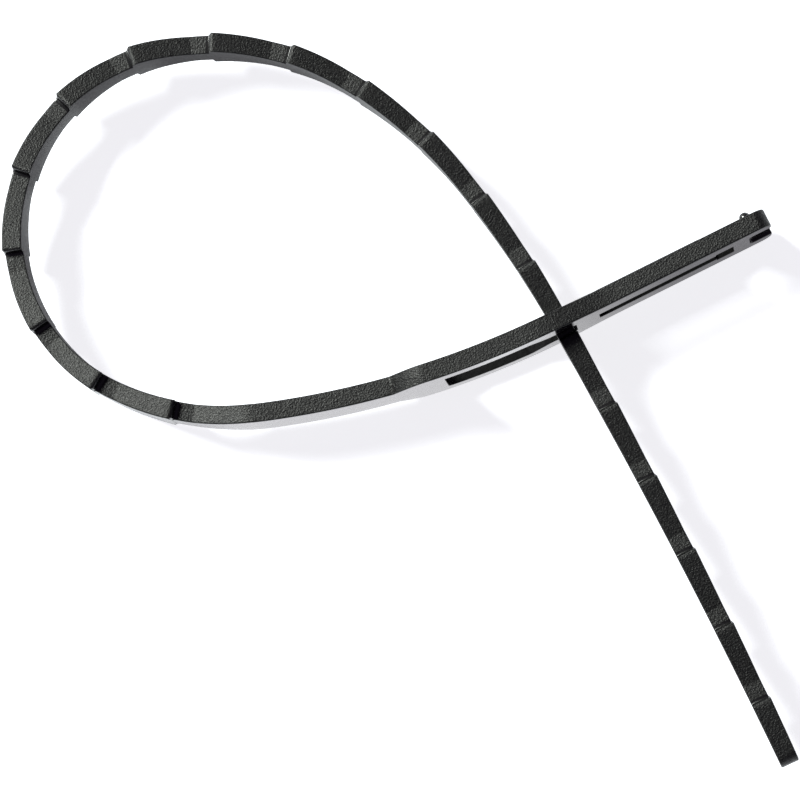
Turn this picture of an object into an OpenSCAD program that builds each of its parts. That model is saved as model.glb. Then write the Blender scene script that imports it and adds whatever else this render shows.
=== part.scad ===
// Reusable strap tie, moulded in one piece, closed into a loop.
// The strap is a row of tapered teeth. Its tail goes through the head's window where that is wide,
// and slides into the narrow end, where the neck between two teeth fits and the next tooth can't pass back.
// Millimetres. The head runs along X with its free end at +X, the loop lies in the XY plane and the
// strap's width is along Z. The tie stands on the lower edge of the head, where the head is widest, and
// the origin is the middle of that edge.

/* [Strap] */
// Thickness of the strap and of the head
strap_t = 1.9; // [1.4:0.1:2.6]
// Width of the plain strap beside the head
strap_w = 6.5; // [6:0.1:8]
// Plain strap from the head to the first tooth
root_length = 21.8; // [16:0.2:30]
// Length over which the plain strap narrows to the first neck
root_taper = 5.4; // [3:0.2:8]

/* [Teeth] */
// Number of teeth on the strap
tooth_count = 19; // [17:1:24]
// Distance from one tooth to the next
tooth_pitch = 8.2; // [7.4:0.1:9.4]
// Width of a tooth at its shoulder
shoulder_w = 5.6; // [5:0.1:5.8]
// Width of the neck between two teeth
neck_w = 3.5; // [2.8:0.1:3.7]
// Length of the straight part of the neck
neck_length = 1.5; // [1.2:0.1:2.4]
// Slope of the shoulder's front, measured along the strap
step_run = 0.4; // [0.2:0.05:0.7]
// Rounding of the shoulder's corner
shoulder_round = 0.35; // [0.2:0.05:0.6]
// How far a shoulder stands proud of the strap's outer face
shoulder_rise = 0.16; // [0:0.02:0.3]
// Last tooth, from its shoulder to the tip
tip_length = 7.2; // [5:0.2:12]
// Width of the tip
tip_w = 3.9; // [3:0.1:4.6]
// Corner radius of the tip
tip_round = 0.9; // [0.4:0.1:1.4]

/* [Head] */
// Length of the head, from its free end to the plain strap
head_length = 40.9; // [39:0.1:46]
// Greatest width of the head, round the window
head_w = 10.3; // [9.6:0.1:12]
// Width of the head's free end, round the slot
nose_w = 8.35; // [7.4:0.05:9.4]
// Length of the free end before the head starts to widen
nose_length = 16.6; // [14:0.2:18]
// Length over which the head widens from the free end to the window
waist_length = 9.4; // [6:0.2:10]
// Length over which the head narrows again to the strap
flare_length = 3.5; // [2.5:0.1:5]
// Corner radius of the free end
nose_round = 1.3; // [0.6:0.1:2.4]

/* [Window] */
// Distance from the free end to the window
window_start = 21.7; // [20.5:0.1:22.5]
// Length of the window
window_length = 14; // [12.5:0.1:14.5]
// Width of the window where a tooth passes
window_w = 5.9; // [5.9:0.1:6.4]
// Width of the window's narrow end, which holds a neck
catch_w = 3.85; // [3.8:0.05:4.4]
// Length of the narrow end
catch_length = 3; // [2.8:0.1:4]
// Length over which the window widens
catch_taper = 2.1; // [1:0.1:3]
// Corner radius in the window and the slot
window_round = 0.3; // [0.1:0.05:0.5]
// Clearance between the locked neck and the end of the window
lock_gap = 0.35; // [0.1:0.05:0.6]
// Clearance between the head's face and the shoulder that bears on it
seat_gap = 0.1; // [0.05:0.05:0.3]
// Width of the sunk ledge round the wide part of the window, on the inner face
ledge_w = 0.4; // [0.2:0.05:0.6]
// Depth of the sunk ledge
ledge_depth = 0.2; // [0.1:0.05:0.4]

/* [Slot] */
// Distance from the free end to the slot
slot_start = 4.25; // [4:0.05:5.5]
// Length of the slot with its wide end
slot_length = 14.9; // [11:0.1:15.3]
// Width of the slot
slot_w = 2.25; // [1.6:0.05:2.8]
// Length of the slot's wide end
eye_length = 1.9; // [1.2:0.1:2.6]
// Width of the slot's wide end
eye_w = 3.4; // [3:0.1:4]
// Width of the sunk rim round the wide end
rim_w = 0.55; // [0.3:0.05:0.7]
// Depth of the sunk rim
rim_depth = 0.4; // [0.2:0.05:0.8]
// Width of the soft crown that runs round the slot on the inner face
crown_w = 2.5; // [2:0.1:2.5]
// Height of the crown
crown_h = 0.2; // [0.1:0.02:0.3]
// Distance from the free end to the crown's two ends
crown_start = 7.4; // [6.8:0.1:9]

/* [Grip] */
// Distance from the free end to the middle of the grip bar
bar_from_end = 2; // [1.6:0.1:2.4]
// Length of the grip bar
bar_length = 6.8; // [4:0.1:7.2]
// Width of the grip bar
bar_w = 1.1; // [0.8:0.1:1.3]
// Height of the grip bar
bar_h = 0.42; // [0.2:0.02:0.6]
// Distance from the free end to the middle of the hollow behind the grip bar
hollow_from_end = 1.75; // [1.7:0.05:2.2]
// Length of the hollow, across the strap
hollow_length = 4.2; // [3:0.1:5]
// Width of the hollow
hollow_w = 1.4; // [1:0.1:1.5]
// Depth of the hollow
hollow_depth = 0.45; // [0.2:0.05:0.8]
// Width of the nick beside the hollow, which is open at the free end
nick_w = 0.7; // [0.4:0.05:0.8]

/* [Loop] */
// The neck that is locked in the window, counted from the head
locked_neck = 14; // [11:1:16]

/* [Hidden] */

// The loop is a chain of arcs that turn the same way, from the window along the strap and back to it
ARC_TURNS = [19, 33, 143, 43, 20, 9];
// Radius of each arc against the other arcs of its side
ARC_SHAPE = [5.1, 1.5, 1, 1.45, 2.45, 5.85];
// Side of each arc: the head's side, the round end, the tail's side
ARC_SIDE = [0, 0, 1, 2, 2, 2];
// The small turn that the free tail keeps past the window
TAIL_TURN = 4;
// Longest facet along the strap
FACET = 1.3;
// How far a cutter reaches past what it cuts
PAST = 1;
DEG_PER_RAD = 180 / PI;

half_t = strap_t / 2;
mid_z = head_w / 2;
// Stations are lengths along the strap's middle line: 0 in the window, negative towards the free end
lock_from_end = window_start + lock_gap + half_t;
head_end = lock_from_end - head_length;
locked_step = half_t + seat_gap;
slot_end = slot_start + slot_length;
// The crown runs halfway between the slot and the edge of the free end, and halfway to the window
crown_beside = (slot_w + nose_w) / 4;
crown_centre = (slot_end + window_start) / 2 - crown_beside;
crown_r = (crown_w * crown_w / 4 + crown_h * crown_h) / (2 * crown_h);
first_step = root_length - head_end;
loop_length = first_step + (locked_neck - 1) * tooth_pitch - locked_step;
last_step = first_step + (tooth_count - 1) * tooth_pitch;
tip = last_step + tip_length;
tail_length = tip - loop_length;

// Heading before each arc, and after the last one
headings = [for (i = 0, h = 180; i <= len(ARC_TURNS); h = h - ARC_TURNS[min(i, len(ARC_TURNS) - 1)], i = i + 1) h];

// What an arc of radius 1 adds to x, to y and to the length
function arc_gain(i) = [
    sin(headings[i]) - sin(headings[i + 1]),
    cos(headings[i + 1]) - cos(headings[i]),
    ARC_TURNS[i] / DEG_PER_RAD
];

// The same for all arcs of one side, with their shape
function side_gain(side, i = 0) =
    i == len(ARC_TURNS) ? [0, 0, 0] :
    (ARC_SIDE[i] == side ? ARC_SHAPE[i] * arc_gain(i) : [0, 0, 0]) + side_gain(side, i + 1);

// Scale of the three sides, so that the loop comes back to the window with the strap's own length
gain = [side_gain(0), side_gain(1), side_gain(2)];
volume = gain[0] * cross(gain[1], gain[2]);
side_scale = loop_length / volume * [
    cross(gain[1], gain[2])[2],
    cross(gain[2], gain[0])[2],
    cross(gain[0], gain[1])[2]
];
arc_radii = concat(
    [for (i = [0 : len(ARC_TURNS) - 1]) ARC_SHAPE[i] * side_scale[ARC_SIDE[i]]],
    tail_length / TAIL_TURN * DEG_PER_RAD
);
arc_turns = concat(ARC_TURNS, TAIL_TURN);

// Place and heading after a clockwise arc
function after_arc(from, radius, turn) = [
    from[0] + radius * (sin(from[2]) - sin(from[2] - turn)),
    from[1] - radius * (cos(from[2]) - cos(from[2] - turn)),
    from[2] - turn
];

function along(from, s, i = 0) =
    let (turn = s / arc_radii[i] * DEG_PER_RAD)
    turn <= arc_turns[i] || i == len(arc_turns) - 1
        ? after_arc(from, arc_radii[i], turn)
        : along(after_arc(from, arc_radii[i], arc_turns[i]), s - arc_radii[i] * arc_turns[i] / DEG_PER_RAD, i + 1);

// Place and heading of the strap's middle line at a station, from the middle of the locked neck
function at(s) = s <= 0 ? [-s, 0, 180] : along([0, 0, 180], s);

// The middle of the edge that the head stands on
rest_point = at((nose_length + waist_length + head_length - flare_length) / 2 - lock_from_end);

// The point beside the middle line, to the inside of the loop where the offset is positive
function beside(s, offset) =
    let (p = at(s))
    [p[0] + offset * sin(p[2]), p[1] - offset * cos(p[2])];

// Even stations between two, both included, no further apart than a facet
function stations(from, to) =
    let (n = ceil((to - from) / FACET))
    [for (i = [0 : n]) from + (to - from) * i / n];

// How far a tooth's outer face stands proud, a given length past its step
function rise_at(d) =
    d <= 0 ? 0 :
    d <= step_run ? shoulder_rise * d / step_run :
    shoulder_rise * max(0, 1 - (d - step_run) / (tooth_pitch - neck_length - step_run));

// Stations of one tooth, past its step
function tooth_stations(i) =
    let (length = i == tooth_count - 1 ? tip_length : tooth_pitch - neck_length)
    concat(0, stations(step_run, length));

// Inner and outer edge of the strap as one outline
module band(inner, outer) {
    polygon(concat(
        [for (q = inner) beside(q, half_t)],
        [for (i = [len(outer) - 1 : -1 : 0]) beside(outer[i][0], -half_t - outer[i][1])]
    ));
}

// Eased step from 0 to 1
function ease(t) = (1 - cos(180 * t)) / 2;

// Half the head's width along X
function head_half(u) =
    u <= nose_length ? nose_w / 2 :
    u <= nose_length + waist_length ? nose_w / 2 + (head_w - nose_w) / 2 * ease((u - nose_length) / waist_length) :
    u <= head_length - flare_length ? head_w / 2 :
    strap_w / 2 + (head_w - strap_w) / 2 * sin(90 * (head_length - u) / flare_length);

// Front view of the head, and of the plain strap beyond it
module head_outline() {
    waist = [for (t = [0 : 0.1 : 1]) nose_length + waist_length * t];
    flare = [for (t = [0 : 0.1 : 1]) head_length - flare_length * (1 - t)];
    beyond = head_length + root_length + head_w;
    edge = [for (u = concat(waist, flare)) [lock_from_end - u, head_half(u)]];
    far = [[lock_from_end - beyond, strap_w / 2], [lock_from_end - beyond, -strap_w / 2]];
    polygon(concat(edge, far, [for (i = [len(edge) - 1 : -1 : 0]) [edge[i][0], -edge[i][1]]]));
    translate([lock_from_end - nose_length, -nose_w / 2])
        rounded_end(nose_length, nose_w, nose_round);
}

// A bar along X whose far end has round corners
module rounded_end(length, width, radius) {
    hull() {
        square([PAST, width]);
        for (y = [radius, width - radius])
            translate([length - radius, y])
                circle(r = radius, $fn = 32);
    }
}

// A shape drawn in the front view, as a prism through the head
module through_head() {
    depth = 2 * head_length;
    translate([0, depth / 2, mid_z])
        rotate([90, 0, 0])
            linear_extrude(height = depth)
                children();
}

// The window: wide for a tooth, narrow at the end for a neck
module window_outline() {
    far = window_length;
    shape = [[0, catch_w], [catch_length, catch_w], [catch_length + catch_taper, window_w], [far, window_w]];
    translate([lock_from_end - window_start, 0])
        offset(r = window_round, $fn = 24)
            offset(delta = -window_round)
                polygon(concat(
                    [for (p = shape) [-p[0], p[1] / 2]],
                    [for (i = [len(shape) - 1 : -1 : 0]) [-shape[i][0], -shape[i][1] / 2]]
                ));
}

// The long slot with its wide end, which makes the free end springy
module slot_outline() {
    translate([lock_from_end - slot_end, -slot_w / 2])
        square([slot_length, slot_w]);
    eye_outline(0);
}

module eye_outline(margin) {
    translate([lock_from_end - slot_start - eye_length - margin, -eye_w / 2 - margin])
        square([eye_length + 2 * margin, eye_w + 2 * margin]);
}

// The sunk rim round the slot's wide end, on the inner face of the head
module eye_rim() {
    translate([0, half_t + PAST, mid_z])
        rotate([90, 0, 0])
            linear_extrude(height = PAST + rim_depth)
                eye_outline(rim_w);
}

// The raised bar for the finger on the inner face of the head
module grip_bar() {
    radius = (bar_w * bar_w / 4 + bar_h * bar_h) / (2 * bar_h);
    reach = bar_length / 2 - radius;
    translate([lock_from_end - bar_from_end, half_t + bar_h - radius, mid_z])
        rotate_extrude($fn = 48)
            polygon(concat(
                [for (a = [-90 : 15 : 0]) [radius * cos(a), radius * sin(a) - reach]],
                [for (a = [0 : 15 : 90]) [radius * cos(a), radius * sin(a) + reach]]
            ));
}

// The hollow behind the grip bar in the outer face, and the nick of the same length at the free end
module grip_hollows() {
    translate([lock_from_end, hollow_depth - half_t, mid_z])
        rotate([90, 0, 0])
            linear_extrude(height = hollow_depth + PAST) {
                hollow_outline(-hollow_from_end, hollow_w);
                hollow_outline(0, 2 * nick_w);
            }
}

module hollow_outline(x, width) {
    reach = (hollow_length - width) / 2;
    hull()
        for (z = [-reach, reach])
            translate([x, z])
                circle(d = width, $fn = 32);
}

// Upper half of the crown's section, sunk a little into the face that it stands on
module crown_section() {
    half_turn = asin(crown_w / 2 / crown_r);
    turn_step = half_turn / 6;
    polygon(concat(
        [for (a = [-half_turn : turn_step : half_turn + turn_step / 2])
            [crown_r * sin(a), crown_r * cos(a) - crown_r + crown_h]],
        [[crown_w / 2, -crown_h], [-crown_w / 2, -crown_h]]
    ));
}

// The soft crown round the slot: a round bend towards the window, two straights and their round ends
module slot_crown() {
    translate([lock_from_end - crown_centre, half_t, mid_z])
        rotate([-90, 0, 0]) {
            intersection() {
                rotate_extrude($fn = 64)
                    translate([crown_beside, 0])
                        crown_section();
                translate([-head_w, -head_w, -PAST])
                    cube([head_w, 2 * head_w, 2 * PAST]);
            }
            for (side = [-crown_beside, crown_beside])
                translate([0, side, 0]) {
                    rotate([90, 0, 90])
                        linear_extrude(height = crown_centre - crown_start)
                            crown_section();
                    translate([crown_centre - crown_start, 0, 0])
                        rotate_extrude($fn = 48)
                            intersection() {
                                crown_section();
                                translate([0, -PAST])
                                    square([crown_w, 2 * PAST]);
                            }
                }
        }
}

// The sunk ledge round the wide part of the window, in the inner face, which is bent there
module window_ledge() {
    wide = window_start + catch_length + catch_taper - lock_from_end;
    edge = stations(wide, wide + window_length);
    intersection() {
        linear_extrude(height = head_w)
            polygon(concat(
                [for (s = edge) beside(s, half_t + PAST)],
                [for (i = [len(edge) - 1 : -1 : 0]) beside(edge[i], half_t - ledge_depth)]
            ));
        through_head()
            offset(delta = ledge_w)
                window_outline();
    }
}

// What is cut from the strap's two edges round one neck: the taper before it, the neck and the step after it.
// The step stands at the origin, and the strap runs along X.
module neck_cut(taper, from_w, to_w) {
    corner = [step_run + shoulder_round, to_w / 2 - shoulder_round];
    lean = atan2(step_run, (to_w - neck_w) / 2 - shoulder_round);
    top = max(from_w, to_w) / 2 + PAST;
    points = concat(
        [[-neck_length - taper, top], [-neck_length - taper, from_w / 2], [-neck_length, neck_w / 2], [0, neck_w / 2]],
        [for (a = [180 - lean : -15 : 90]) corner + shoulder_round * [cos(a), sin(a)]],
        [[corner[0], top]]
    );
    for (side = [0, 1])
        mirror([0, side])
            polygon(points);
}

// What is cut from the last tooth so that it ends in a round tip
module tip_cut() {
    difference() {
        translate([0, -shoulder_w])
            square([tip_length + PAST, 2 * shoulder_w]);
        offset(r = tip_round, $fn = 32)
            offset(delta = -tip_round)
                polygon([
                    [-tip_length, shoulder_w / 2], [step_run + shoulder_round, shoulder_w / 2],
                    [tip_length, tip_w / 2], [tip_length, -tip_w / 2],
                    [step_run + shoulder_round, -shoulder_w / 2], [-tip_length, -shoulder_w / 2]
                ]);
    }
}

// A shape drawn along the strap's side, as a prism through the strap at a station
module across_strap(s) {
    p = at(s);
    reach = 2 * tooth_pitch;
    translate([p[0], p[1], mid_z])
        rotate([90, 0, p[2]])
            translate([0, 0, -reach / 2])
                linear_extrude(height = reach)
                    children();
}

// The head and the plain strap, up to the middle of the first neck
module head_and_root() {
    joint = first_step - neck_length / 2;
    edge = concat(-lock_from_end, stations(0, joint));
    difference() {
        union() {
            intersection() {
                linear_extrude(height = head_w)
                    band(edge, [for (s = edge) [s, 0]]);
                through_head()
                    head_outline();
            }
            slot_crown();
        }
        through_head() {
            window_outline();
            slot_outline();
        }
        eye_rim();
        window_ledge();
        grip_hollows();
        across_strap(first_step)
            neck_cut(root_taper, strap_w, strap_w);
    }
    grip_bar();
}

// The row of teeth, from the middle of the first neck to the tip
module teeth() {
    joint = first_step - neck_length / 2;
    taper = tooth_pitch - neck_length - step_run - shoulder_round;
    outer = concat(
        [[joint, 0]],
        [for (i = [0 : tooth_count - 1], d = tooth_stations(i)) [first_step + i * tooth_pitch + d, rise_at(d)]]
    );
    difference() {
        translate([0, 0, mid_z - shoulder_w / 2])
            linear_extrude(height = shoulder_w)
                band([for (q = outer) q[0]], outer);
        for (i = [0 : tooth_count - 1])
            across_strap(first_step + i * tooth_pitch)
                neck_cut(taper, shoulder_w, shoulder_w);
        across_strap(last_step)
            tip_cut();
    }
}

module cable_tie() {
    color("#2b2b2d")
        translate([-rest_point[0], -rest_point[1], 0]) {
            head_and_root();
            teeth();
        }
}

cable_tie();
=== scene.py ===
"""The looks of a reusable strap tie, moulded in one piece and closed into a loop.

The tie is modelled straight, as it leaves the mould: the head with its window, slot and grip bar, then the
row of tapered teeth and the tip. Its edges are rounded, it is dressed in black plastic, and it is bent into
its loop. While it is straight, X is the distance from the head's free end, -Y points out of the inner face
and Z runs across the strap. All lengths are in metres.
"""

import logging
import math
from contextlib import contextmanager
from dataclasses import dataclass, field
from enum import Enum
from typing import Callable, Iterator, Sequence

import bmesh
import bpy
import numpy as np
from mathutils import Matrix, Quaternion, Vector


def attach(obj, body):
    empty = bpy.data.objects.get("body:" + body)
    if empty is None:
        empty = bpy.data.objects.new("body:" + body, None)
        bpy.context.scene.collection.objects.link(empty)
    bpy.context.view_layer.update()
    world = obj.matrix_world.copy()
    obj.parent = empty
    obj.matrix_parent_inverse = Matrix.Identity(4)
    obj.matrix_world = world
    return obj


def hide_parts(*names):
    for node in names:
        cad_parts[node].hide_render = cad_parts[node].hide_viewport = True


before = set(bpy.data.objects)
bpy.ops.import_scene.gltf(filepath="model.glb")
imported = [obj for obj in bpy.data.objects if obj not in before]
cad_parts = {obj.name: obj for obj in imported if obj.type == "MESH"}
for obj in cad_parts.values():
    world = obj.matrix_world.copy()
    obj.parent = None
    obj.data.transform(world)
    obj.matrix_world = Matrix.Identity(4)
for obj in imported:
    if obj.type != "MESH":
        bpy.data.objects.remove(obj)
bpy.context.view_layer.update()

LOG = logging.getLogger("strap_tie")

MM = 0.001
# Places closer than this are one place.
SAME = 1e-6
# Faces that turn less than this against each other lie in one plane.
FLAT = math.radians(1)
# A unit vector follows an axis when its part along that axis is more than this.
ALONG = 0.9

NODE = "cable_tie"
BODY = "root"

Colour = tuple[float, float, float, float]
Socket = bpy.types.NodeSocket
Tree = bpy.types.NodeTree
Test = Callable[[Vector, Vector], bool]


class Side(Enum):
    """The three stretches of the loop, whose arcs grow and shrink together."""

    HEAD = 0
    ROUND_END = 1
    TAIL = 2


@dataclass(frozen=True)
class Section:
    """A cross-section of the straight tie.

    Args:
        x: Distance from the head's free end.
        half_width: Half the width across the strap.
        rise: How far the outer face stands proud.
    """

    x: float
    half_width: float
    rise: float = 0.0


@dataclass(frozen=True)
class Arc:
    """One arc of the loop.

    Args:
        turn: Clockwise turn in degrees.
        shape: Radius against the other arcs of its side.
        side: The side that it belongs to.
    """

    turn: float
    shape: float
    side: Side


def only(*pieces: bpy.types.Object) -> None:
    """Select these objects and nothing else, with the first one active.

    Args:
        *pieces: The objects to select.
    """
    if bpy.context.mode != "OBJECT":
        bpy.ops.object.mode_set(mode="OBJECT")
    bpy.ops.object.select_all(action="DESELECT")
    for piece in pieces:
        piece.select_set(True)
    bpy.context.view_layer.objects.active = pieces[0]


@contextmanager
def editing(piece: bpy.types.Object) -> Iterator[None]:
    """Open a piece in edit mode with nothing selected, and leave it again.

    Args:
        piece: The mesh object to edit.
    """
    only(piece)
    bpy.ops.object.mode_set(mode="EDIT")
    bpy.ops.mesh.select_all(action="DESELECT")
    yield
    bpy.ops.object.mode_set(mode="OBJECT")


def choose_faces(piece: bpy.types.Object, test: Test) -> None:
    """Select the faces whose middle and normal pass a test.

    Args:
        piece: The mesh object that is open in edit mode.
        test: Takes a face's middle and its normal.
    """
    bpy.ops.mesh.select_mode(type="FACE")
    mesh = bmesh.from_edit_mesh(piece.data)
    for face in mesh.faces:
        face.select_set(test(face.calc_center_median(), face.normal))
    bmesh.update_edit_mesh(piece.data)


def choose_edges(piece: bpy.types.Object, test: Test) -> None:
    """Select the edges whose middle and direction pass a test.

    Args:
        piece: The mesh object that is open in edit mode.
        test: Takes an edge's middle and its unit direction.
    """
    bpy.ops.mesh.select_mode(type="EDGE")
    mesh = bmesh.from_edit_mesh(piece.data)
    for edge in mesh.edges:
        start, end = edge.verts[0].co, edge.verts[1].co
        edge.select_set(test((start + end) / 2, (end - start).normalized()))
    bmesh.update_edit_mesh(piece.data)


def settle(name: str) -> bpy.types.Object:
    """Name the primitive that was just added, and move its place into its mesh.

    Args:
        name: Its name.

    Returns:
        The primitive.
    """
    piece = bpy.context.active_object
    piece.name = name
    only(piece)
    bpy.ops.object.transform_apply(location=True, rotation=True, scale=True)
    return piece


def block(name: str, low: Sequence[float], high: Sequence[float]) -> bpy.types.Object:
    """Add a block between two corners.

    Args:
        name: Name of the new object.
        low: Its lowest corner.
        high: Its highest corner.

    Returns:
        The new object.
    """
    low, high = Vector(low), Vector(high)
    bpy.ops.mesh.primitive_cube_add(size=1, location=(low + high) / 2, scale=high - low)
    return settle(name)


def bevel_chosen(radius: float, segments: int) -> None:
    """Round the selected edges."""
    bpy.ops.mesh.bevel(offset=radius, offset_type="OFFSET", segments=segments, profile=0.5, affect="EDGES")


def round_upright(piece: bpy.types.Object, radius: float, segments: int) -> bpy.types.Object:
    """Round the edges of a cutter that run through the strap's thickness.

    Args:
        piece: The cutter.
        radius: Their radius.
        segments: How many facets each one has.

    Returns:
        The same cutter.
    """
    with editing(piece):
        bpy.ops.mesh.select_all(action="SELECT")
        bpy.ops.mesh.dissolve_limited(angle_limit=FLAT)
        choose_edges(piece, lambda middle, along: abs(along.y) > ALONG)
        bevel_chosen(radius, segments)
    return piece


def finish_with(piece: bpy.types.Object, kind: str, **settings: object) -> None:
    """Add a modifier to a piece and apply it.

    Args:
        piece: The object that it shapes.
        kind: The modifier's type.
        **settings: Its settings by name.
    """
    only(piece)
    modifier = piece.modifiers.new(kind.lower(), kind)
    for name, value in settings.items():
        setattr(modifier, name, value)
    bpy.ops.object.modifier_apply(modifier=modifier.name)


def cut(piece: bpy.types.Object, cutter: bpy.types.Object, how: str = "DIFFERENCE") -> None:
    """Combine a piece with another and delete the other.

    Args:
        piece: The object that stays.
        cutter: The object that is used up.
        how: The boolean operation.
    """
    finish_with(piece, "BOOLEAN", operation=how, solver="EXACT", object=cutter)
    bpy.data.objects.remove(cutter)


def loft(name: str, sections: Sequence[Section], thickness: float) -> bpy.types.Object:
    """Model a bar from its cross-sections: a block that is extruded and resized from one to the next.

    Args:
        name: Name of the new object.
        sections: Two or more cross-sections, of which the first two are alike.
        thickness: Distance between the two flat faces.

    Returns:
        The new closed bar.
    """
    first, second = sections[:2]
    half = thickness / 2
    piece = block(name, (first.x, -half, -first.half_width), (second.x, half, first.half_width))
    with editing(piece):
        choose_faces(piece, lambda middle, normal: normal.x > ALONG)
        for before, after in zip(sections[1:], sections[2:]):
            bpy.ops.mesh.extrude_region_move(TRANSFORM_OT_translate={"value": (after.x - before.x, 0, 0)})
            thicker = (thickness + after.rise) / (thickness + before.rise)
            bpy.ops.transform.resize(
                value=(1, thicker, after.half_width / before.half_width),
                center_override=(after.x, -half, 0),
            )
    return piece


def arch_radius(width: float, height: float) -> float:
    """Radius of the circle whose arch is this wide and this high."""
    return (width ** 2 / 4 + height ** 2) / (2 * height)


def direction(bearing: float, elevation: float) -> Vector:
    """Unit vector at a turn in degrees from X, seen from above, and a height in degrees over the floor."""
    turn, height = math.radians(bearing), math.radians(elevation)
    return Vector((math.cos(turn) * math.cos(height), math.sin(turn) * math.cos(height), math.sin(height)))


def feed(tree: Tree, node: bpy.types.Node, inputs: dict[str | int, object]) -> None:
    """Link or set the inputs of a node.

    Args:
        tree: The node tree that it belongs to.
        node: The node.
        inputs: A socket or a value for each input, by its name or number.
    """
    for key, value in inputs.items():
        if isinstance(value, Socket):
            tree.links.new(value, node.inputs[key])
        else:
            node.inputs[key].default_value = value


def add_node(tree: Tree, kind: str, inputs: dict[str | int, object], **settings: object) -> bpy.types.Node:
    """Add a node to a material or to the world.

    Args:
        tree: The node tree that it joins.
        kind: The node's type.
        inputs: A socket or a value for each input, by its name or number.
        **settings: Its settings by name.

    Returns:
        The new node.
    """
    node = tree.nodes.new(kind)
    for name, value in settings.items():
        setattr(node, name, value)
    feed(tree, node, inputs)
    return node


def combine(tree: Tree, operation: str, *inputs: Socket | float) -> Socket:
    """Add a maths node, and return the socket that holds its result."""
    return add_node(tree, "ShaderNodeMath", dict(enumerate(inputs)), operation=operation).outputs["Value"]


def between(before: Section, after: Section, t: float) -> Section:
    """The cross-section at a fraction of the way from one to the next."""
    ends = ((before.x, after.x), (before.half_width, after.half_width), (before.rise, after.rise))
    return Section(*(start + (end - start) * t for start, end in ends))


def brace(sections: Sequence[Section], x: float, reach: float) -> list[Section]:
    """Add a section close to either side of one, so that the crease there stays crisp.

    Args:
        sections: Cross-sections in order.
        x: Where the creased section lies.
        reach: How far from it the added ones lie.

    Returns:
        The same sections with the added ones.
    """
    out = [sections[0]]
    for before, after in zip(sections, sections[1:]):
        t = reach / (after.x - before.x)
        if abs(before.x - x) < SAME:
            out.append(between(before, after, t))
        if abs(after.x - x) < SAME:
            out.append(between(before, after, 1 - t))
        out.append(after)
    return out


def spread(sections: Sequence[Section], longest: float) -> list[Section]:
    """Add even sections wherever two lie further apart than a limit.

    Args:
        sections: Cross-sections in order.
        longest: The greatest distance between two.

    Returns:
        The same sections with the added ones.
    """
    out = [sections[0]]
    for before, after in zip(sections, sections[1:]):
        count = math.ceil((after.x - before.x) / longest - SAME)
        out += [between(before, after, i / count) for i in range(1, count + 1)]
    return out


@dataclass(frozen=True)
class Strap:
    """The plain strap beside the head.

    Args:
        thickness: Distance between the two faces, the same all along the tie.
        width: Width across it.
        root_length: From the head to the first tooth's step.
        root_taper: How long it narrows down to the first neck.
        longest_facet: How far apart the cuts that let it bend may lie.
    """

    thickness: float = 1.9 * MM
    width: float = 6.5 * MM
    root_length: float = 21.8 * MM
    root_taper: float = 5.4 * MM
    longest_facet: float = 1.0 * MM


@dataclass(frozen=True)
class Head:
    """The head, with its window and slot, the grip bar, and the hollow in the outer face.

    Starts are distances from the free end. Lengths, gaps and reaches run along the strap, and widths across
    it, as do the lengths of the bar and the hollow. Heights and depths run through it.
    """

    length: float = 40.9 * MM
    width: float = 10.3 * MM
    nose_width: float = 8.35 * MM
    nose_length: float = 16.6 * MM
    waist_length: float = 9.4 * MM
    flare_length: float = 3.5 * MM
    nose_round: float = 1.3 * MM
    window_start: float = 21.7 * MM
    window_length: float = 14.0 * MM
    window_width: float = 5.9 * MM
    catch_width: float = 3.85 * MM
    catch_length: float = 3.0 * MM
    catch_taper: float = 2.1 * MM
    corner_round: float = 0.3 * MM
    lock_gap: float = 0.35 * MM
    ledge_width: float = 0.4 * MM
    ledge_depth: float = 0.2 * MM
    slot_start: float = 4.25 * MM
    slot_length: float = 14.9 * MM
    slot_width: float = 2.25 * MM
    slot_round: float = 0.15 * MM
    eye_length: float = 1.9 * MM
    eye_width: float = 3.4 * MM
    rim_width: float = 0.55 * MM
    rim_depth: float = 0.4 * MM
    crown_width: float = 2.2 * MM
    crown_height: float = 0.2 * MM
    crown_start: float = 7.4 * MM
    bar_from_end: float = 2.0 * MM
    bar_length: float = 6.8 * MM
    bar_width: float = 1.2 * MM
    bar_height: float = 0.58 * MM
    hollow_reach: float = 2.45 * MM
    hollow_length: float = 4.2 * MM
    hollow_round: float = 0.7 * MM
    hollow_depth: float = 0.45 * MM
    edge_margin: float = 0.005 * MM

    def half_width(self, x: float) -> float:
        """Half the head's width, which swells in a soft wave from the nose to the body.

        Args:
            x: Distance from the free end.

        Returns:
            Half the width there.
        """
        nose, body = self.nose_width / 2, self.width / 2
        t = min(max((x - self.nose_length) / self.waist_length, 0), 1)
        return nose + (body - nose) * (1 - math.cos(math.pi * t)) / 2

    def inside(self, x: float, z: float) -> bool:
        """Whether a place lies inside the head's outline, and not on its edge."""
        margin = self.edge_margin if x > self.nose_round else self.nose_round
        return SAME < x < self.length and abs(z) < self.half_width(x) - margin

    def in_opening(self, x: float, z: float) -> bool:
        """Whether a place lies inside the outline and before the far end of the window."""
        return x < self.window_start + self.window_length + self.corner_round and self.inside(x, z)


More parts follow.
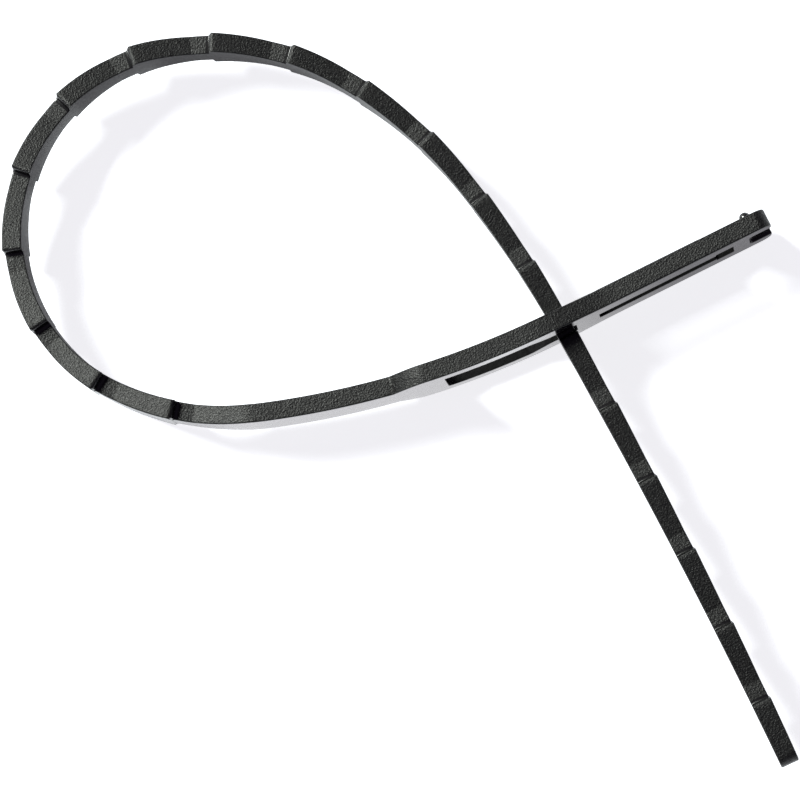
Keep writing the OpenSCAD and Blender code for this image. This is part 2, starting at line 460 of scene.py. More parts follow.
@dataclass(frozen=True)
class Teeth:
    """The row of tapered teeth and the tip.

    Args:
        count: How many teeth there are.
        pitch: From one step to the next.
        shoulder_width: Width of a tooth at its shoulder, where it is widest.
        neck_width: Width of the necks, where a tooth's taper ends.
        neck_length: Length of a neck.
        root_start: From a step to where its smooth root starts.
        front_start: From a step to the foot of its front.
        front_run: How far the front slopes.
        shoulder_rise: How far a shoulder stands proud of the outer face.
        crease: How close a braced section lies to the crease at the end of a taper.
        tip_length: From the last step to the end of the tip.
        tip_width: Width of the tip at its end.
        tip_round: Radius of the tip's corners.
    """

    count: int = 19
    pitch: float = 8.2 * MM
    shoulder_width: float = 5.6 * MM
    neck_width: float = 3.5 * MM
    neck_length: float = 1.5 * MM
    root_start: float = 0.05 * MM
    front_start: float = 0.36 * MM
    front_run: float = 0.14 * MM
    shoulder_rise: float = 0.14 * MM
    crease: float = 0.08 * MM
    tip_length: float = 7.18 * MM
    tip_width: float = 3.9 * MM
    tip_round: float = 0.9 * MM

    def sections(self, step: float, length: float, end_width: float) -> list[Section]:
        """Cross-sections of one tooth, from the middle of the neck before its step.

        Args:
            step: Where its step stands.
            length: From the step to where its taper ends.
            end_width: Width at the end of the taper.

        Returns:
            The cross-sections in order.
        """
        return [
            Section(step - self.neck_length / 2, self.neck_width / 2),
            Section(step + self.root_start, self.neck_width / 2),
            Section(step + self.front_start, self.neck_width / 2),
            Section(step + self.front_start + self.front_run, self.shoulder_width / 2, self.shoulder_rise),
            Section(step + length, end_width / 2),
        ]

    def in_root(self, past_first_step: float) -> bool:
        """Whether a place lies in the smooth root before a step's front."""
        return past_first_step > 0 and self.root_start < past_first_step % self.pitch < self.front_start


@dataclass(frozen=True)
class EdgeRounding:
    """Radii of the moulded edges, each by where the edge lies.

    Args:
        inner: The long edges of the inner face.
        outer: The long edges of the outer face.
        shoulder: The upright corners of the teeth.
        step_root: The upright corners between a neck and a step.
        opening: Round the window, the slot and the hollow.
        sharp_angle: The least turn between two faces that makes an edge sharp.
        segments: How many facets a rounding has.
    """

    inner: float = 0.15 * MM
    outer: float = 0.16 * MM
    shoulder: float = 0.42 * MM
    step_root: float = 0.04 * MM
    opening: float = 0.09 * MM
    sharp_angle: float = math.radians(30)
    segments: int = 4


@dataclass(frozen=True)
class LoopPath:
    """The strap's middle line in the closed loop, as a straight head and a chain of arcs.

    Args:
        loop_length: From the lock round the loop and back to it.
        lock_from_end: From the head's free end to the lock.
        tail_length: From the lock to the tip.
        arcs: The arcs in order.
        tail_turn: How far the tail turns in degrees.
        start_heading: The strap's heading at the lock, in degrees from X.
        spacing: How far apart the points lie.
    """

    loop_length: float
    lock_from_end: float
    tail_length: float
    arcs: tuple[Arc, ...] = (
        Arc(19, 5.1, Side.HEAD),
        Arc(33, 1.5, Side.HEAD),
        Arc(143, 1.0, Side.ROUND_END),
        Arc(43, 1.45, Side.TAIL),
        Arc(20, 2.45, Side.TAIL),
        Arc(9, 5.85, Side.TAIL),
    )
    tail_turn: float = 4.0
    start_heading: float = 180.0
    spacing: float = 0.25 * MM

    @staticmethod
    def swing(heading: float, after: float) -> tuple[float, float]:
        """The way along X and Y of a clockwise arc of radius 1, from one heading to another."""
        return math.sin(heading) - math.sin(after), math.cos(after) - math.cos(heading)

    def radii(self) -> list[float]:
        """Solve the arcs' radii, so that the loop closes on the locked neck with the strap's own length.

        Returns:
            The radius of each arc.
        """
        gains = np.zeros((3, len(Side)))
        heading = math.radians(self.start_heading)
        for arc in self.arcs:
            after = heading - math.radians(arc.turn)
            gains[:, arc.side.value] += arc.shape * np.array((*self.swing(heading, after), heading - after))
            heading = after
        scales = np.linalg.solve(gains, (0, 0, self.loop_length))
        return [float(arc.shape * scales[arc.side.value]) for arc in self.arcs]

    def points(self) -> list[Vector]:
        """Follow the middle line from the head's free end to the tip, with the lock at the origin.

        Returns:
            Points along it.
        """
        turns = [math.radians(arc.turn) for arc in self.arcs] + [math.radians(self.tail_turn)]
        radii = self.radii() + [self.tail_length / turns[-1]]
        place, heading = Vector((0, 0, 0)), math.radians(self.start_heading)
        steps = round(self.lock_from_end / self.spacing)
        out = [Vector((self.lock_from_end * (1 - i / steps), 0, 0)) for i in range(steps + 1)]
        for turn, radius in zip(turns, radii):
            steps = math.ceil(turn * radius / self.spacing)
            for i in range(1, steps + 1):
                after = heading - turn * i / steps
                out.append(place + radius * Vector((*self.swing(heading, after), 0)))
            place, heading = out[-1], heading - turn
        return out


@dataclass(frozen=True)
class MouldedPlastic:
    """Black plastic as it leaves the mould, with the grain that the mould gives it.

    Args:
        name: Name of the material.
        roughness: Mean roughness.
        roughness_spread: How far the roughness goes up and down with the grain.
        grain: Size of one grain.
        depth: Height of the grain.
        specular: Specular level, where 0.5 is plain plastic.
        coat: Weight of the smooth skin that polished steel leaves.
        coat_roughness: Roughness of that skin.
        dark: Colour in the pits of the grain.
        light: Colour on its tops.
        shades: Where the noise is at its darkest and at its lightest.
        cloud: Size of the broad patches.
        cloud_weight: How much they count against the grain.
        details: How many finer layers the noise of the grain and of the patches has.
        noise_roughness: How strong the fine parts of the noise are.
        grain_range: The noise between its pits and its tops.
    """

    name: str
    roughness: float
    roughness_spread: float
    grain: float
    depth: float
    specular: float = 0.5
    coat: float = 0.0
    coat_roughness: float = 0.12
    dark: Colour = (0.0005, 0.0005, 0.0005, 1)
    light: Colour = (0.002, 0.002, 0.002, 1)
    shades: tuple[float, float] = (0.55, 1.0)
    cloud: float = 4.0 * MM
    cloud_weight: float = 0.6
    details: tuple[float, float] = (2, 3)
    noise_roughness: float = 0.6
    grain_range: tuple[float, float] = (0.3, 0.7)

    def noise(self, tree: Tree, size: float, detail: float) -> Socket:
        """Add a noise whose features have a given size.

        Args:
            tree: The material's node tree.
            size: Size of its features.
            detail: How many finer layers it has.

        Returns:
            The socket that holds the noise.
        """
        return add_node(tree, "ShaderNodeTexNoise", {
            "Vector": add_node(tree, "ShaderNodeTexCoord", {}).outputs["Object"],
            "Scale": 1 / size,
            "Detail": detail,
            "Roughness": self.noise_roughness,
        }).outputs["Fac"]

    def make(self) -> bpy.types.Material:
        """Build the node material.

        Returns:
            The new material.
        """
        material = bpy.data.materials.new(self.name)
        material.use_nodes = True
        tree = material.node_tree
        sizes = (self.grain, self.cloud)
        grain, cloud = (self.noise(tree, size, detail) for size, detail in zip(sizes, self.details))
        both = combine(tree, "MULTIPLY_ADD", cloud, self.cloud_weight, grain)
        shade = add_node(tree, "ShaderNodeValToRGB", {"Fac": both})
        for element, place, colour in zip(shade.color_ramp.elements, self.shades, (self.dark, self.light)):
            element.position, element.color = place, colour
        gloss = add_node(tree, "ShaderNodeMapRange", {
            "Value": grain,
            "From Min": self.grain_range[0],
            "From Max": self.grain_range[1],
            "To Min": self.roughness + self.roughness_spread,
            "To Max": self.roughness - self.roughness_spread,
        })
        bump = add_node(tree, "ShaderNodeBump", {"Distance": self.depth, "Height": grain})
        feed(tree, tree.nodes["Principled BSDF"], {
            "Base Color": shade.outputs["Color"],
            "Roughness": gloss.outputs["Result"],
            "Normal": bump.outputs["Normal"],
            "Specular IOR Level": self.specular,
            "Coat Weight": self.coat,
            "Coat Roughness": self.coat_roughness,
        })
        return material


GRAINED = MouldedPlastic(
    name="grained_black_plastic",
    roughness=0.48,
    roughness_spread=0.1,
    grain=0.18 * MM,
    depth=0.09 * MM,
)
SATIN = MouldedPlastic(
    name="satin_black_plastic",
    roughness=0.45,
    roughness_spread=0.04,
    grain=0.3 * MM,
    depth=0.006 * MM,
    specular=0.6,
)
POLISHED = MouldedPlastic(
    name="polished_black_plastic",
    roughness=0.3,
    roughness_spread=0.04,
    grain=0.3 * MM,
    depth=0.004 * MM,
    coat=0.6,
)


@dataclass
class HeadMoulding:
    """The head and the plain strap up to the middle of the first neck.

    Args:
        head: The head's sizes.
        strap: The plain strap's sizes.
        teeth: The teeth's sizes.
        first_step: Where the first tooth's step stands.
        waist_steps: How many facets the waist and the flare have.
        corner_segments: How many facets the corners of the free end and of the hollow have.
        window_segments: How many the window's corners have.
        slot_segments: How many the slot's corners have.
        crown_sides: How many sides the circle has that the crown's arch is cut from.
        crown_steps: How many facets the crown's turn and its round end have.
        sunk: How deep the crown reaches into the face.
    """

    head: Head
    strap: Strap
    teeth: Teeth
    first_step: float
    waist_steps: int = 10
    corner_segments: int = 8
    window_segments: int = 5
    slot_segments: int = 4
    crown_sides: int = 128
    crown_steps: int = 10
    sunk: float = 0.03 * MM

    @property
    def clear(self) -> float:
        """How far from the middle of the thickness a cutter reaches, well past both faces."""
        return 2 * self.strap.thickness

    def build(self) -> bpy.types.Object:
        """Model the head, open at its neck end.

        Returns:
            The head's mesh object.
        """
        piece = loft("head_moulding", self.outline(), self.strap.thickness)
        self.round_nose(piece)
        cut(piece, self.slot_crown(), "UNION")
        for cutter in (self.window(), self.window_ledge(), self.slot(), self.eye_rim(), self.hollow()):
            cut(piece, cutter)
        cut(piece, self.grip_bar(), "UNION")
        end = self.first_step - self.teeth.neck_length / 2
        with editing(piece):
            choose_faces(piece, lambda middle, normal: middle.x > end - SAME)
            bpy.ops.mesh.delete(type="FACE")
        return piece

    def outline(self) -> list[Section]:
        """List the cross-sections from the free end to the middle of the first neck.

        Returns:
            The cross-sections in order.
        """
        head, strap, teeth = self.head, self.strap, self.teeth
        steps = self.waist_steps
        waist = [head.nose_length + head.waist_length * i / steps for i in range(steps + 1)]
        out = [Section(0, head.nose_width / 2)] + [Section(x, head.half_width(x)) for x in waist]
        for i in range(steps + 1):
            t = 1 - i / steps
            half = strap.width / 2 + (head.width - strap.width) / 2 * math.sin(math.pi / 2 * t)
            out.append(Section(head.length - head.flare_length * t, half))
        neck_end = self.first_step - teeth.neck_length
        out.append(Section(neck_end - strap.root_taper, strap.width / 2))
        out.append(Section(neck_end, teeth.neck_width / 2))
        out.append(Section(neck_end + teeth.neck_length / 2, teeth.neck_width / 2))
        return brace(out, neck_end, teeth.crease)

    def round_nose(self, piece: bpy.types.Object) -> None:
        """Round the two corners of the free end.

        Args:
            piece: The head.
        """
        with editing(piece):
            choose_edges(piece, lambda middle, along: middle.x < SAME and abs(along.y) > ALONG)
            bevel_chosen(self.head.nose_round, self.corner_segments)

    def prism(self, name: str, widths: Sequence[tuple[float, float]]) -> bpy.types.Object:
        """Model a cutter that goes through the head, from its width at each place along it.

        Args:
            name: Name of the cutter.
            widths: Distance from the free end and width, in order.

        Returns:
            The cutter, with its upright corners rounded.
        """
        piece = loft(name, [Section(x, width / 2) for x, width in widths], 2 * self.clear)
        return round_upright(piece, self.head.corner_round, self.window_segments)

    def window(self) -> bpy.types.Object:
        """Model the cutter of the window, narrow where it holds a neck and wide where a tooth passes.

        Returns:
            The cutter.
        """
        head = self.head
        taper = head.window_start + head.catch_length
        return self.prism("window_cutter", (
            (head.window_start, head.catch_width),
            (taper, head.catch_width),
            (taper + head.catch_taper, head.window_width),
            (head.window_start + head.window_length, head.window_width),
        ))

    def window_ledge(self) -> bpy.types.Object:
        """Model the cutter of the sunk ledge round the wide part of the window, on the inner face.

        Returns:
            The cutter.
        """
        head = self.head
        half = head.window_width / 2 + head.ledge_width
        start = head.window_start + head.catch_length + head.catch_taper
        end = head.window_start + head.window_length + head.ledge_width
        floor = head.ledge_depth - self.strap.thickness / 2
        return block("ledge_cutter", (start, -self.clear, -half), (end, floor, half))

    def slot(self) -> bpy.types.Object:
        """Model the cutter of the long slot with its wide end.

        Returns:
            The cutter.
        """
        head, deep = self.head, self.clear
        start, end, eye_end = (head.slot_start + length for length in (0, head.slot_length, head.eye_length))
        half, eye = head.slot_width / 2, head.eye_width / 2
        piece = block("slot_cutter", (start, -deep, -half), (end, deep, half))
        cut(piece, block("eye_cutter", (start, -deep, -eye), (eye_end, deep, eye)), "UNION")
        return round_upright(piece, head.slot_round, self.slot_segments)

    def eye_rim(self) -> bpy.types.Object:
        """Model the cutter of the sunk rim round the slot's wide end, on the inner face.

        Returns:
            The cutter.
        """
        head, rim = self.head, self.head.rim_width
        floor = head.rim_depth - self.strap.thickness / 2
        half = head.eye_width / 2 + rim
        start, end = head.slot_start - rim, head.slot_start + head.eye_length + rim
        return block("rim_cutter", (start, -self.clear, -half), (end, floor, half))

    def slot_crown(self) -> bpy.types.Object:
        """Model the soft crown that runs round the slot on the inner face, as one half and its mirror image.

        The crown's arch is spun a quarter turn round the end of the slot, drawn out beside the slot, and
        brought down to the face in a round end.

        Returns:
            The crown, sunk a little into the face.
        """
        head = self.head
        face = -self.strap.thickness / 2
        beside = (head.slot_width + head.nose_width) / 4
        centre = (head.slot_start + head.slot_length + head.window_start) / 2 - beside
        radius = arch_radius(head.crown_width, head.crown_height)
        bpy.ops.mesh.primitive_circle_add(
            vertices=self.crown_sides, radius=radius, fill_type="NGON",
            location=(centre, face - head.crown_height + radius, beside), rotation=(0, math.pi / 2, 0),
        )
        piece = settle("slot_crown")
        with editing(piece):
            bpy.ops.mesh.select_all(action="SELECT")
            bpy.ops.mesh.bisect(
                plane_co=(0, face + self.sunk, 0), plane_no=(0, 1, 0), clear_outer=True, threshold=SAME,
            )
            bpy.ops.mesh.select_all(action="SELECT")
            bpy.ops.mesh.spin(
                steps=self.crown_steps, angle=-math.pi / 2, center=(centre, 0, 0), axis=(0, 1, 0)
            )
            choose_faces(piece, lambda middle, normal: abs(middle.z) < SAME)
            bpy.ops.mesh.delete(type="FACE")
            choose_faces(piece, lambda middle, normal: middle.x < centre + SAME)
            run = head.crown_start - centre
            bpy.ops.mesh.extrude_region_move(TRANSFORM_OT_translate={"value": (run, 0, 0)})
            self.round_crown(radius, beside)
        finish_with(piece, "MIRROR", use_axis=(False, False, True), merge_threshold=2 * SAME)
        with editing(piece):
            bpy.ops.mesh.select_all(action="SELECT")
            bpy.ops.mesh.normals_make_consistent(inside=False)
        return piece

    def round_crown(self, radius: float, beside: float) -> None:
        """Draw out the selected end of the crown, down to the face in a round end.

        Args:
            radius: Radius of the crown's arch.
            beside: How far from the middle of the strap the crown runs.
        """
        head, half = self.head, self.head.crown_width / 2
        foot = self.sunk - self.strap.thickness / 2
        x, width, height = 0.0, half, head.crown_height + self.sunk
        for i in range(1, self.crown_steps + 1):
            turn = math.pi / 2 * i / self.crown_steps
            far, wide = half * math.sin(turn), max(half * math.cos(turn), self.sunk)
            high = math.sqrt(radius ** 2 - far ** 2) - radius + head.crown_height + self.sunk
            bpy.ops.mesh.extrude_region_move(TRANSFORM_OT_translate={"value": (x - far, 0, 0)})
            bpy.ops.transform.resize(
                value=(1, high / height, wide / width), center_override=(head.crown_start - far, foot, beside)
            )
            x, width, height = far, wide, high

    def hollow(self) -> bpy.types.Object:
        """Model the cutter of the hollow in the outer face, open to the free end and round further in.

        Returns:
            The cutter.
        """
        head, half = self.head, self.head.hollow_length / 2
        low = (-head.hollow_round, self.strap.thickness / 2 - head.hollow_depth, -half)
        piece = block("hollow_cutter", low, (head.hollow_reach, self.clear, half))
        return round_upright(piece, head.hollow_round - SAME, self.corner_segments)

    def grip_bar(self) -> bpy.types.Object:
        """Model the raised bar for the finger, a rod with round ends that stands proud of the inner face.

        Returns:
            The rod.
        """
        head = self.head
        radius = arch_radius(head.bar_width, head.bar_height)
        y = radius - head.bar_height - self.strap.thickness / 2
        bpy.ops.mesh.primitive_uv_sphere_add(
            segments=32, ring_count=16, radius=radius, location=(head.bar_from_end, y, 0)
        )
        piece = settle("grip_bar")
        for end in (-1, 1):
            with editing(piece):
                choose_faces(piece, lambda middle, normal: middle.z * end > 0)
                bpy.ops.transform.translate(value=(0, 0, end * (head.bar_length / 2 - radius)))
        return piece


@dataclass
class ToothRow:
    """The row of teeth, from the middle of the first neck to the tip.

    Args:
        strap: The plain strap's sizes.
        teeth: The teeth's sizes.
        first_step: Where the first tooth's step stands.
        tip_segments: How many facets the tip's corners have.
    """

    strap: Strap
    teeth: Teeth
    first_step: float
    tip_segments: int = 8

    def build(self) -> list[bpy.types.Object]:
        """Model one tooth, repeat it, and model the last tooth with its tip.

        Returns:
            The row and the tip.
        """
        teeth = self.teeth
        plain = teeth.sections(self.first_step, teeth.pitch - teeth.neck_length, teeth.neck_width)
        neck_start = self.first_step + teeth.pitch - teeth.neck_length
        plain.append(Section(neck_start + teeth.neck_length / 2, teeth.neck_width / 2))
        plain = brace(plain, neck_start, teeth.crease)
        row = self.opened(loft("tooth_row", spread(plain, self.strap.longest_facet), self.strap.thickness))
        finish_with(
            row, "ARRAY", count=teeth.count - 1, use_relative_offset=False, use_constant_offset=True,
            constant_offset_displace=(teeth.pitch, 0, 0), use_merge_vertices=True, merge_threshold=SAME,
        )
        last_step = self.first_step + (teeth.count - 1) * teeth.pitch
        last = teeth.sections(last_step, teeth.tip_length, teeth.tip_width)
        tip = loft("tip", spread(last, self.strap.longest_facet), self.strap.thickness)
        with editing(tip):
            end = last_step + teeth.tip_length
            choose_edges(tip, lambda middle, along: middle.x > end - SAME and abs(along.y) > ALONG)
            bevel_chosen(teeth.tip_round, self.tip_segments)
        return [row, self.opened(tip, far=False)]

    def opened(self, piece: bpy.types.Object, far: bool = True) -> bpy.types.Object:
        """Delete the end faces of a tooth, so that it joins its neighbours.

        Args:
            piece: The tooth.
            far: Whether its far end is opened too.

        Returns:
            The same tooth.
        """
        places = [vertex.co.x for vertex in piece.data.vertices]
        low, high = min(places) + SAME, max(places) - SAME
        with editing(piece):
            choose_faces(piece, lambda middle, normal: middle.x < low or (far and middle.x > high))
            bpy.ops.mesh.delete(type="FACE")
        return piece


@dataclass
class StrapTie:
    """The whole tie, moulded in one piece and closed into a loop.

    Args:
        strap: The plain strap's sizes.
        head: The head's sizes.
        teeth: The teeth's sizes.
        rounding: The radii of its edges.
        locked_neck: Which neck sits in the window, counted from the head.
        seat_gap: Room between the window's wall and the locked step.
        snap: How close to an edge a cut across the strap may pass before it runs along it.
        face_limit: How far a normal points along Y on the inner and the outer face.
        front_limit: How far it points back along X on a step's front.
        wall_limit: How little it points along Y on an opening's wall.
    """

    strap: Strap = field(default_factory=Strap)
    head: Head = field(default_factory=Head)
    teeth: Teeth = field(default_factory=Teeth)
    rounding: EdgeRounding = field(default_factory=EdgeRounding)
    locked_neck: int = 14
    seat_gap: float = 0.1 * MM
    snap: float = 0.02 * MM
    face_limit: float = 0.8
    front_limit: float = 0.6
    wall_limit: float = 0.5

    @property
    def first_step(self) -> float:
        """Where the first tooth's step stands."""
        return self.head.length + self.strap.root_length

    @property
    def first_neck(self) -> float:
        """Where the first neck starts."""
        return self.first_step - self.teeth.neck_length

    @property
    def lock_from_end(self) -> float:
        """Distance from the head's free end to the middle of the locked neck."""
        return self.head.window_start + self.head.lock_gap + self.strap.thickness / 2

    def path(self) -> LoopPath:
        """Work out the lengths that the locked neck gives the loop and the tail.

        Returns:
            The loop's middle line.
        """
        first = self.first_step - self.lock_from_end
        locked = first + (self.locked_neck - 1) * self.teeth.pitch
        loop_length = locked - self.strap.thickness / 2 - self.seat_gap
        tip = first + (self.teeth.count - 1) * self.teeth.pitch + self.teeth.tip_length
        return LoopPath(loop_length, self.lock_from_end, tip - loop_length)

    def build(self) -> bpy.types.Object:
        """Model the straight tie, round its edges, dress it and bend it.

        Returns:
            The finished piece.
        """
        head = HeadMoulding(self.head, self.strap, self.teeth, self.first_step).build()
        only(head, *ToothRow(self.strap, self.teeth, self.first_step).build())
        bpy.ops.object.join()
        tie = bpy.context.active_object
        tie.name = "strap_tie"
        with editing(tie):
            bpy.ops.mesh.select_all(action="SELECT")
            bpy.ops.mesh.remove_doubles(threshold=2 * SAME)
        self.round_edges(tie)
        self.divide(tie)
        self.dress(tie)
        self.bend(tie)
        only(tie)
        bpy.ops.object.shade_smooth_by_angle(angle=self.rounding.sharp_angle)
        finish_with(tie, "WEIGHTED_NORMAL", mode="FACE_AREA", keep_sharp=True, weight=60)
        return tie

    def edge_radius(self, middle: Vector) -> float:
        """Radius of the edge at a place on the straight tie.

        Args:
            middle: The middle of the edge.

        Returns:
            The radius that the mould gives it.
        """
        round_to, half = self.rounding, self.strap.thickness / 2
        flat = round_to.inner if middle.y < SAME - half else round_to.outer
        if middle.x < self.first_neck:
            on_face = abs(abs(middle.y) - half) < SAME
            return flat if on_face and not self.head.inside(middle.x, middle.z) else round_to.opening
        if abs(middle.y) < half / 2:
            in_neck = abs(middle.z) < self.teeth.neck_width / 2 + SAME
            return round_to.step_root if in_neck else round_to.shoulder
        return flat

    def round_edges(self, tie: bpy.types.Object) -> None:
        """Round every sharp edge by its own radius.

        Args:
            tie: The straight tie.
        """
        radii = self.rounding
        widest = max(radii.inner, radii.outer, radii.shoulder, radii.step_root, radii.opening)
        with editing(tie):
            bpy.ops.mesh.select_mode(type="EDGE")
            bpy.ops.mesh.edges_select_sharp(sharpness=radii.sharp_angle)
            mesh = bmesh.from_edit_mesh(tie.data)
            layers = mesh.edges.layers.float
            weights = layers.get("bevel_weight_edge") or layers.new("bevel_weight_edge")
            for edge in mesh.edges:
                if edge.select:
                    middle = (edge.verts[0].co + edge.verts[1].co) / 2
                    edge[weights] = self.edge_radius(middle) / widest
            bmesh.update_edit_mesh(tie.data)
        finish_with(
            tie, "BEVEL", width=widest, segments=radii.segments, limit_method="WEIGHT",
            offset_type="OFFSET", use_clamp_overlap=False, loop_slide=True,
        )

    def divide(self, tie: bpy.types.Object) -> None:
        """Cut the long faces between the lock and the first neck, so that they can follow the bend.

        Args:
            tie: The straight tie.
        """
        length = self.first_neck - self.lock_from_end
        count = math.ceil(length / self.strap.longest_facet)
        with editing(tie):
            for i in range(count):
                bpy.ops.mesh.select_all(action="SELECT")
                x = self.lock_from_end + length * (i + 0.5) / count
                bpy.ops.mesh.bisect(plane_co=(x, 0, 0), plane_no=(1, 0, 0), threshold=self.snap)

    def finish_at(self, place: Vector, normal: Vector) -> MouldedPlastic:
        """Choose a face's finish: satin inside, polished outside and on fronts, roots and walls, or grained.

        Args:
            place: The face's middle on the straight tie.
            normal: Its normal.

        Returns:
            The finish that the mould gives it.
        """
        near = self.strap.thickness / 4
        if normal.y < -self.face_limit and place.y < -near:
            return SATIN
        outside = normal.y > self.face_limit and place.y > near
        front = normal.x < -self.front_limit and place.x > self.head.length
        wall = abs(normal.y) < self.wall_limit and self.head.in_opening(place.x, place.z)
        smooth = outside or front or wall or self.teeth.in_root(place.x - self.first_step)
        return POLISHED if smooth else GRAINED

    def dress(self, tie: bpy.types.Object) -> None:
        """Give every face its finish.

        Args:
            tie: The straight tie.
        """
        finishes = [GRAINED, SATIN, POLISHED]
        for finish in finishes:
            tie.data.materials.append(finish.make())
        for polygon in tie.data.polygons:
            polygon.material_index = finishes.index(self.finish_at(polygon.center, polygon.normal))

    def bend(self, tie: bpy.types.Object) -> None:
        """Bend the straight tie along the loop, and stand its head on edge with its body over the origin.

        Args:
            tie: The straight tie.
        """
        points = self.path().points()
        outline = bpy.data.curves.new("loop_path", "CURVE")
        outline.dimensions = "3D"
        outline.twist_mode = "Z_UP"
        spline = outline.splines.new("POLY")
        spline.points.add(len(points) - 1)
        for target, point in zip(spline.points, points):
            target.co = (*point, 1)
        guide = bpy.data.objects.new("loop_path", outline)
        bpy.context.scene.collection.objects.link(guide)
        finish_with(tie, "CURVE", object=guide, deform_axis="POS_X")
        bpy.data.objects.remove(guide)
        head = self.head
        rest = (head.nose_length + head.waist_length + head.length - head.flare_length) / 2
        foot = self.place(points, rest)
        with editing(tie):
            bpy.ops.mesh.select_all(action="SELECT")
            bpy.ops.transform.translate(value=(-foot.x, -foot.y, head.width / 2))

    @staticmethod
    def place(points: Sequence[Vector], distance: float) -> Vector:
        """Find the point of the middle line at a distance from the head's free end.

        Args:
            points: The middle line.
            distance: How far along it.

        Returns:
            The point.
        """
        for before, after in zip(points, points[1:]):
            length = (after - before).length
            if distance <= length:
                return before.lerp(after, distance / length)
            distance -= length
        return points[-1]


@dataclass(frozen=True)
class Lamp:
    """A square soft lamp that faces the tie.

    Args:
        name: Name of the lamp.
        colour: Colour of its light.
        radiance: How bright its face is.
        size: Side of the square.
        distance: How far away it hangs.
        bearing: Its turn in degrees from X, seen from above.
        elevation: Its height in degrees over the floor.
    """

    name: str
    colour: tuple[float, float, float]
    radiance: float
    size: float
    distance: float
    bearing: float
    elevation: float

    def hang(self, aim: Vector) -> None:
        """Hang the lamp so that it faces a place.

        Args:
            aim: The place.
        """
        towards = direction(self.bearing, self.elevation)
        lamp = bpy.data.lights.new(self.name, "AREA")
        lamp.shape = "SQUARE"
        lamp.size = self.size
        lamp.color = self.colour
        lamp.energy = self.radiance * math.pi * self.size ** 2
        piece = bpy.data.objects.new(self.name, lamp)
        piece.location = aim + towards * self.distance
        piece.rotation_mode = "QUATERNION"
        piece.rotation_quaternion = (-towards).to_track_quat("-Z", "Y")
        bpy.context.scene.collection.objects.link(piece)


KEY = Lamp(
    name="soft_key",
    colour=(0.96, 1.0, 0.94),
    radiance=52.0,
    size=0.608,
    distance=1.82,
    bearing=123.1,
    elevation=42.1,
)


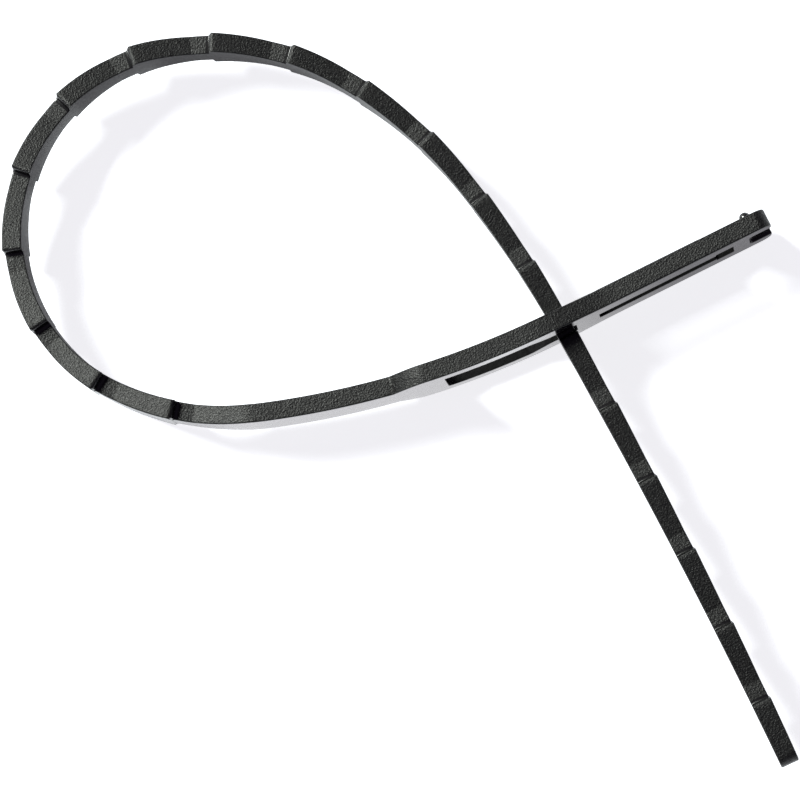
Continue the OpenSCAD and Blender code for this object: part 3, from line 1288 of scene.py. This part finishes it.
@dataclass(frozen=True)
class Studio:
    """The plain pale floor, the soft light from the left of the picture, and the camera.

    Args:
        floor_size: Side of the floor.
        floor_colour: Colour of the floor under the lamps.
        glow_colour: Colour of the glow added to the floor: the even white for the camera and the painted
            light in reflections.
        camera_glow: What the floor adds for the camera, so that it stays white.
        painted_pool_glow: Painted light that the floor adds in reflections, in an oval pool where the head
            meets the plain strap.
        pool_rest: Painted light that the floor adds in reflections outside the pool.
        pool_centre: The pool's middle along X and Y.
        pool_reach: Its half lengths along X and Y.
        pool_fade: Where it starts and stops to fade, in half lengths.
        sky: Strength of the surroundings as light and in reflections.
        sky_colour: Their colour there.
        lamps: The lamps.
        aim: What the lamps and the camera face.
        distance: How far the camera is from there.
        bearing: The camera's turn in degrees from X, seen from above.
        elevation: Its height in degrees over the floor.
        roll: Its turn in degrees about its own axis.
        field_of_view: Its angle of view in degrees.
        clip: The nearest and the furthest that it sees.
    """

    floor_size: float = 6.0
    floor_colour: Colour = (0.8, 0.82, 0.88, 1)
    glow_colour: Colour = (0.98, 0.98, 1, 1)
    camera_glow: float = 0.84
    # Painted light: in reflections the floor glows brightest in an oval pool beside the head, and a little
    # everywhere else.
    painted_pool_glow: float = 1.15
    pool_rest: float = 0.34
    pool_centre: tuple[float, float] = (-12 * MM, 0.0)
    pool_reach: tuple[float, float] = (14 * MM, 6 * MM)
    pool_fade: tuple[float, float] = (0.9, 2.6)
    sky: float = 0.08
    sky_colour: Colour = (0.8, 0.65, 1, 1)
    lamps: tuple[Lamp, ...] = (KEY,)
    aim: tuple[float, float, float] = (-9.082 * MM, 0.073 * MM, 5.15 * MM)
    distance: float = 492.58 * MM
    bearing: float = -77.38
    elevation: float = 81.84
    roll: float = -39.03
    field_of_view: float = 9.285
    clip: tuple[float, float] = (0.05, 12.0)

    def build(self) -> None:
        """Build the floor, the surroundings, the lamps and the camera."""
        self.lay_floor()
        self.surround()
        for lamp in self.lamps:
            lamp.hang(Vector(self.aim))
        self.place_camera()

    def pool(self, tree: Tree) -> Socket:
        """Shape the oval pool of painted light on the floor, which only reflections show.

        Args:
            tree: The floor's node tree.

        Returns:
            The socket that holds the painted light that the floor adds in reflections.
        """
        oval = add_node(tree, "ShaderNodeMapping", {
            "Vector": add_node(tree, "ShaderNodeTexCoord", {}).outputs["Object"],
            "Location": (*self.pool_centre, 0),
            "Scale": (*self.pool_reach, 1),
        }, vector_type="TEXTURE")
        away = add_node(tree, "ShaderNodeVectorMath", {0: oval.outputs["Vector"]}, operation="LENGTH")
        return add_node(tree, "ShaderNodeMapRange", {
            "Value": away.outputs["Value"],
            "From Min": self.pool_fade[0],
            "From Max": self.pool_fade[1],
            "To Min": self.painted_pool_glow,
            "To Max": self.pool_rest,
        }, interpolation_type="SMOOTHSTEP").outputs["Result"]

    def lay_floor(self) -> None:
        """Lay the floor: white to the camera, with its pool of painted light in reflections, and shaded under
        the object.
        """
        bpy.ops.mesh.primitive_plane_add(size=self.floor_size, location=(0, 0, 0))
        floor = bpy.context.active_object
        floor.name = "floor"
        material = bpy.data.materials.new("pale_floor")
        material.use_nodes = True
        tree = material.node_tree
        tree.nodes.clear()
        rays = add_node(tree, "ShaderNodeLightPath", {}).outputs
        # Painted light: rays that reflect or pass through see the floor glow in its oval pool.
        painted_reflection = combine(tree, "MAXIMUM", rays["Is Glossy Ray"], rays["Is Transmission Ray"])
        painted_reflection = combine(tree, "MULTIPLY", painted_reflection, self.pool(tree))
        strength = combine(tree, "MULTIPLY_ADD", rays["Is Camera Ray"], self.camera_glow, painted_reflection)
        matt = add_node(tree, "ShaderNodeBsdfDiffuse", {"Color": self.floor_colour})
        glow = add_node(tree, "ShaderNodeEmission", {"Color": self.glow_colour, "Strength": strength})
        both = add_node(tree, "ShaderNodeAddShader", {0: matt.outputs["BSDF"], 1: glow.outputs["Emission"]})
        add_node(tree, "ShaderNodeOutputMaterial", {"Surface": both.outputs["Shader"]})
        floor.data.materials.append(material)

    def surround(self) -> None:
        """Set the surroundings: white to the camera and through clear things, and otherwise a soft fill."""
        world = bpy.data.worlds.new("pale_room")
        bpy.context.scene.world = world
        world.use_nodes = True
        tree = world.node_tree
        rays = add_node(tree, "ShaderNodeLightPath", {}).outputs
        seen = combine(tree, "MAXIMUM", rays["Is Camera Ray"], rays["Is Transmission Ray"])
        soft = add_node(tree, "ShaderNodeBackground", {"Color": self.sky_colour, "Strength": self.sky})
        white = add_node(tree, "ShaderNodeBackground", {"Color": (1, 1, 1, 1)})
        either = add_node(tree, "ShaderNodeMixShader", {
            "Fac": seen, 1: soft.outputs["Background"], 2: white.outputs["Background"],
        })
        feed(tree, tree.nodes["World Output"], {"Surface": either.outputs["Shader"]})

    def place_camera(self) -> None:
        """Put the camera almost straight above the loop, turned as the picture is."""
        forward = -direction(self.bearing, self.elevation)
        camera = bpy.data.cameras.new("camera")
        camera.angle = math.radians(self.field_of_view)
        camera.clip_start, camera.clip_end = self.clip
        piece = bpy.data.objects.new("camera", camera)
        piece.location = Vector(self.aim) - forward * self.distance
        piece.rotation_mode = "QUATERNION"
        turn = Quaternion((0, 0, 1), math.radians(self.roll))
        piece.rotation_quaternion = forward.to_track_quat("-Z", "Y") @ turn
        bpy.context.scene.collection.objects.link(piece)
        bpy.context.scene.camera = piece


def main() -> None:
    """Build the tie and the studio, and report the tie's faces."""
    logging.basicConfig(level=logging.INFO, format="%(name)s: %(message)s")
    bpy.context.scene.view_settings.view_transform = "Standard"
    tie = StrapTie().build()
    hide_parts(NODE)
    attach(tie, BODY)
    LOG.info("%s: %d faces", tie.name, len(tie.data.polygons))
    Studio().build()


if __name__ == "__main__":
    main()
